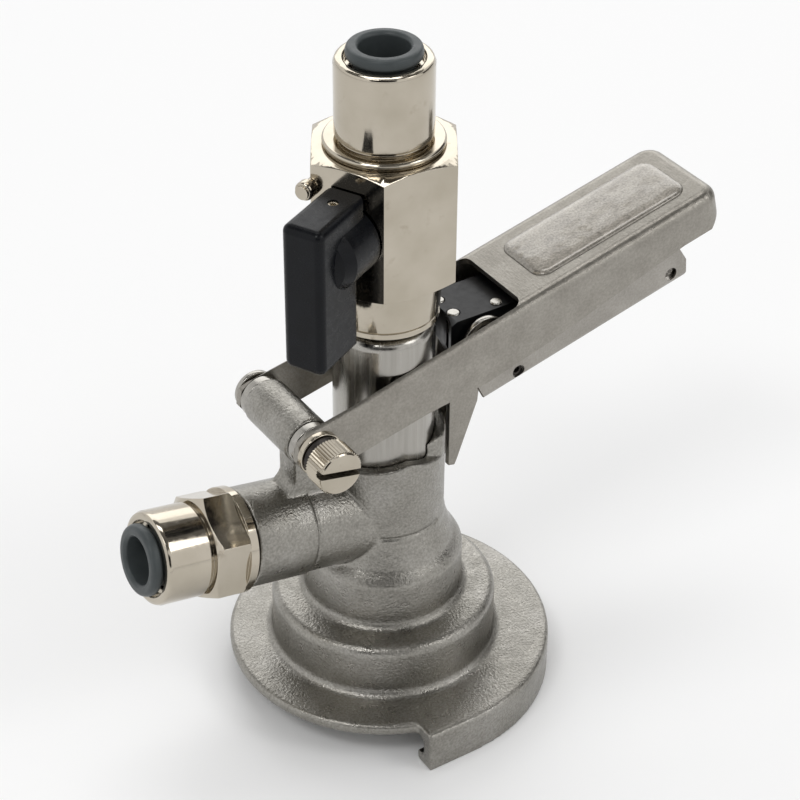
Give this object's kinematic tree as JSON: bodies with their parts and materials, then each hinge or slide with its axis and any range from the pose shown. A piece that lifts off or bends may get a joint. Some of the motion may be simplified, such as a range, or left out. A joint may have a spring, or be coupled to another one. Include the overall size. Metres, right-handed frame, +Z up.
{
  "type": "keg coupler",
  "caption": "Slide-on keg coupler with a latching lever, a sliding probe, a quarter-turn ball valve and push-fit sockets for gas and beer tube.",
  "frame": {"origin": "on the probe axis, level with the underside of the skirt that the coupler stands on", "axes": "+Z up along the probe, +X towards the grip of the lever, +Y to the far side; the keg neck slides in from -X"},
  "size_m": [0.1473, 0.0786, 0.1623],
  "materials": {
    "cast_steel": "satin cast stainless steel",
    "sheet_steel": "tumbled stainless sheet",
    "turned_steel": "turned stainless steel",
    "plated_brass": "polished nickel plating",
    "dark_steel": "dark steel",
    "ball_steel": "polished",
    "rubber": "matte",
    "collet_plastic": "dark grey, satin",
    "knob_plastic": "black, satin",
    "block_plastic": "black",
    "seat_plastic": "white fluoroplastic",
    "clear_resin": "clear domed resin over bare steel"
  },
  "bodies": {
    "housing": {"base_housing": "cast_steel", "keg_seal": "rubber", "gas_fitting": "plated_brass", "gas_fitting_gasket": "rubber", "gas_tube_o_ring": "rubber", "gas_check_valve": "rubber"},
    "gas_ring": {"gas_collet": "collet_plastic"},
    "lever": {"lever_handle": "sheet_steel", "handle_badge": "clear_resin", "pivot_sleeve": "turned_steel", "arm_spacers": "turned_steel", "pivot_washer": "plated_brass", "pivot_lock_ring": "dark_steel", "pivot_screw": "plated_brass", "pivot_nut": "turned_steel", "drive_pins": "turned_steel", "latch_pin": "turned_steel", "latch_discs": "turned_steel", "latch_block": "block_plastic", "latch_springs": "dark_steel"},
    "trigger": {"trigger": "sheet_steel"},
    "latch": {"latch_claw": "sheet_steel"},
    "probe": {"probe_tube": "turned_steel", "probe_o_ring": "rubber", "probe_tip_seal": "rubber", "ball_cage": "seat_plastic", "valve_body": "plated_brass", "lower_ball_seat": "seat_plastic", "upper_ball_seat": "seat_plastic", "stem_o_ring": "rubber", "stem_gland": "plated_brass", "top_fitting": "plated_brass", "beer_tube_o_ring": "rubber"},
    "check_ball": {"check_ball": "ball_steel"},
    "valve": {"valve_ball": "plated_brass", "valve_stem": "plated_brass", "valve_knob": "knob_plastic", "knob_screw": "plated_brass"},
    "beer_ring": {"beer_collet": "collet_plastic"}
  },
  "joints": [
    {"name": "lever_hinge", "type": "hinge", "parent": "housing", "child": "lever", "pos_m": [-0.02485, 0, 0.07894], "axis": [0, 1, 0], "range_deg": [0, 25]},
    {"name": "probe_slide", "type": "slide", "parent": "housing", "child": "probe", "axis": [0, 0, -1], "range_m": [0, 0.0111]},
    {"name": "latch_swing", "type": "hinge", "parent": "lever", "child": "latch", "pos_m": [0.02107, 0, 0.08819], "axis": [0, 1, 0], "range_deg": [-33, 0]},
    {"name": "trigger_pull", "type": "hinge", "parent": "lever", "child": "trigger", "pos_m": [0.02107, 0, 0.08819], "axis": [0, -1, 0], "range_deg": [0, 5], "stiffness_Nm_per_rad": 1, "springref_deg": -17.19},
    {"name": "valve_turn", "type": "hinge", "parent": "probe", "child": "valve", "pos_m": [0, 0, 0.12541], "axis": [0.8878, 0.4602, 0], "range_deg": [0, 90]},
    {"name": "beer_ring_press", "type": "slide", "parent": "probe", "child": "beer_ring", "axis": [0, 0, -1], "range_m": [0, 0.0014]},
    {"name": "gas_ring_press", "type": "slide", "parent": "housing", "child": "gas_ring", "axis": [0.9857, 0, -0.1685], "range_m": [0, 0.0014]},
    {"name": "check_ball_lift", "type": "slide", "parent": "probe", "child": "check_ball", "axis": [0, 0, 1], "range_m": [0, 0.0025]}
  ],
  "couplings": [
    {"joint": "probe_slide", "follows": "lever_hinge", "m_per_rad": 0.02539},
    {"joint": "latch_swing", "follows": "lever_hinge", "ratio": -1.3}
  ]
}
